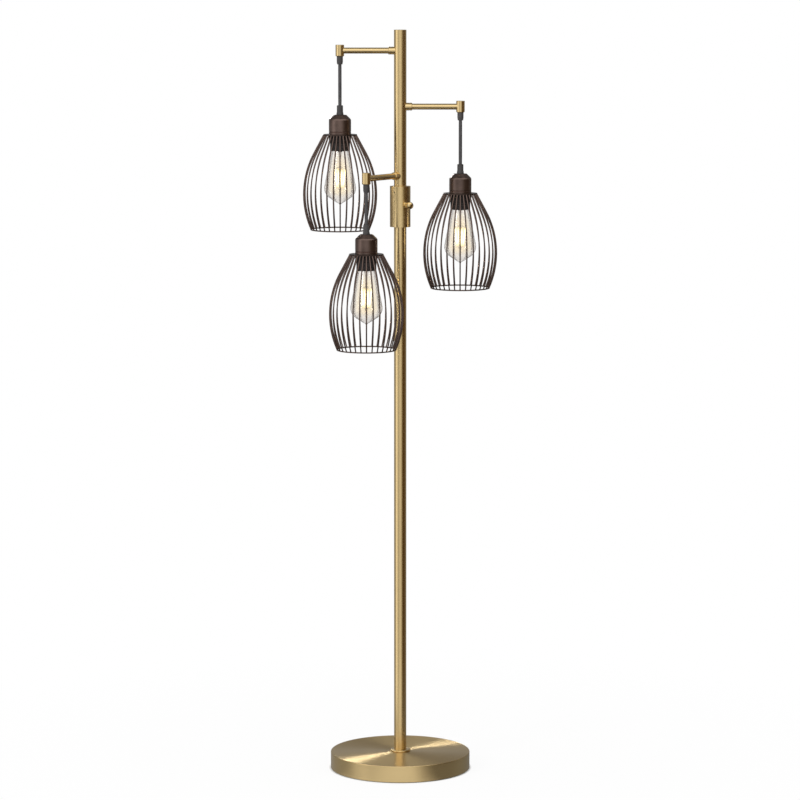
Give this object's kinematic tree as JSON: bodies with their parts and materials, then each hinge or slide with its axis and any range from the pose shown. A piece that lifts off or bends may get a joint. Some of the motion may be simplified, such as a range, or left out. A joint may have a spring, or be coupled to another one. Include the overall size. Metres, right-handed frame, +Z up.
{
  "type": "floor lamp",
  "caption": "Floor lamp with a thin pole on a round weighted base, short arms, and caged bulbs that hang from the arms on cords.",
  "frame": {"origin": "centre of the foot pad's underside, on the pole's axis", "axes": "+Z up along the pole; the lamp's front faces -Y; +X towards the right arm"},
  "size_m": [0.3918, 0.3221, 1.508],
  "materials": {
    "brushed_brass": "brushed",
    "dark_bronze": "satin",
    "black_plastic": "matte",
    "relief_rubber": "satin",
    "cord_jacket": "satin",
    "wire_insulation": "satin",
    "clear_glass": "clear",
    "contact_metal": "plain",
    "plated_steel": "zinc",
    "glowing_filament": "glowing",
    "cast_stone": "rough",
    "black_foam": "matte"
  },
  "bodies": {
    "stand": {"base_cover": "brushed_brass", "base_weight": "cast_stone", "foot_pad": "black_foam", "neck_ring": "brushed_brass", "base_nipple": "plated_steel", "base_nut_washer": "plated_steel", "lead_gland": "black_plastic", "lower_pole": "brushed_brass", "upper_pole": "brushed_brass", "pole_cap": "brushed_brass", "switch_housing": "brushed_brass", "housing_lid": "brushed_brass", "switch_body": "black_plastic", "switch_collar": "brushed_brass", "inner_wires": "wire_insulation", "arm_left": "brushed_brass", "arm_right": "brushed_brass", "arm_front": "brushed_brass", "arm_collars": "brushed_brass", "tip_joints": "brushed_brass", "cord_glands": "relief_rubber"},
    "knob": {"switch_knob": "brushed_brass", "switch_shaft": "plated_steel"},
    "left_cord": {"cord_left": "cord_jacket"},
    "left_lamp": {"cord_relief_left": "relief_rubber", "socket_cup_left": "dark_bronze", "socket_left": "black_plastic", "socket_contacts_left": "contact_metal", "shade_ring_left": "black_plastic", "cage_plate_left": "dark_bronze", "cage_wires_left": "dark_bronze", "cage_ring_left": "dark_bronze", "bulb_glass_left": "clear_glass", "bulb_cap_left": "contact_metal", "filaments_left": "glowing_filament"},
    "right_cord": {"cord_right": "cord_jacket"},
    "right_lamp": {"cord_relief_right": "relief_rubber", "socket_cup_right": "dark_bronze", "socket_right": "black_plastic", "socket_contacts_right": "contact_metal", "shade_ring_right": "black_plastic", "cage_plate_right": "dark_bronze", "cage_wires_right": "dark_bronze", "cage_ring_right": "dark_bronze", "bulb_glass_right": "clear_glass", "bulb_cap_right": "contact_metal", "filaments_right": "glowing_filament"},
    "front_cord": {"cord_front": "cord_jacket"},
    "front_lamp": {"cord_relief_front": "relief_rubber", "socket_cup_front": "dark_bronze", "socket_front": "black_plastic", "socket_contacts_front": "contact_metal", "shade_ring_front": "black_plastic", "cage_plate_front": "dark_bronze", "cage_wires_front": "dark_bronze", "cage_ring_front": "dark_bronze", "bulb_glass_front": "clear_glass", "bulb_cap_front": "contact_metal", "filaments_front": "glowing_filament"}
  },
  "joints": [
    {"name": "knob_turn", "type": "hinge", "parent": "stand", "child": "knob", "pos_m": [0.01038, -0.01797, 1.158], "axis": [0.5, -0.866, 0], "continuous": true},
    {"name": "left_swing", "type": "hinge", "parent": "stand", "child": "left_cord", "pos_m": [-0.121, 0, 1.4405], "axis": [-1, 0, 0], "range_deg": [-15, 4]},
    {"name": "left_tilt", "type": "hinge", "parent": "left_cord", "child": "left_lamp", "pos_m": [-0.121, 0, 1.3555], "axis": [0, 1, 0], "range_deg": [-3, 15]},
    {"name": "right_swing", "type": "hinge", "parent": "stand", "child": "right_cord", "pos_m": [0.121, 0, 1.3285], "axis": [1, 0, 0], "range_deg": [-10, 15]},
    {"name": "right_tilt", "type": "hinge", "parent": "right_cord", "child": "right_lamp", "pos_m": [0.121, 0, 1.2375], "axis": [0, -1, 0], "range_deg": [-6, 15]},
    {"name": "front_swing", "type": "hinge", "parent": "stand", "child": "front_cord", "pos_m": [-0.06731, -0.10055, 1.19], "axis": [-0.5563, -0.831, 0], "range_deg": [-10, 8]},
    {"name": "front_tilt", "type": "hinge", "parent": "front_cord", "child": "front_lamp", "pos_m": [-0.06731, -0.10055, 1.123], "axis": [-0.831, 0.5563, 0], "range_deg": [-6, 15]}
  ]
}
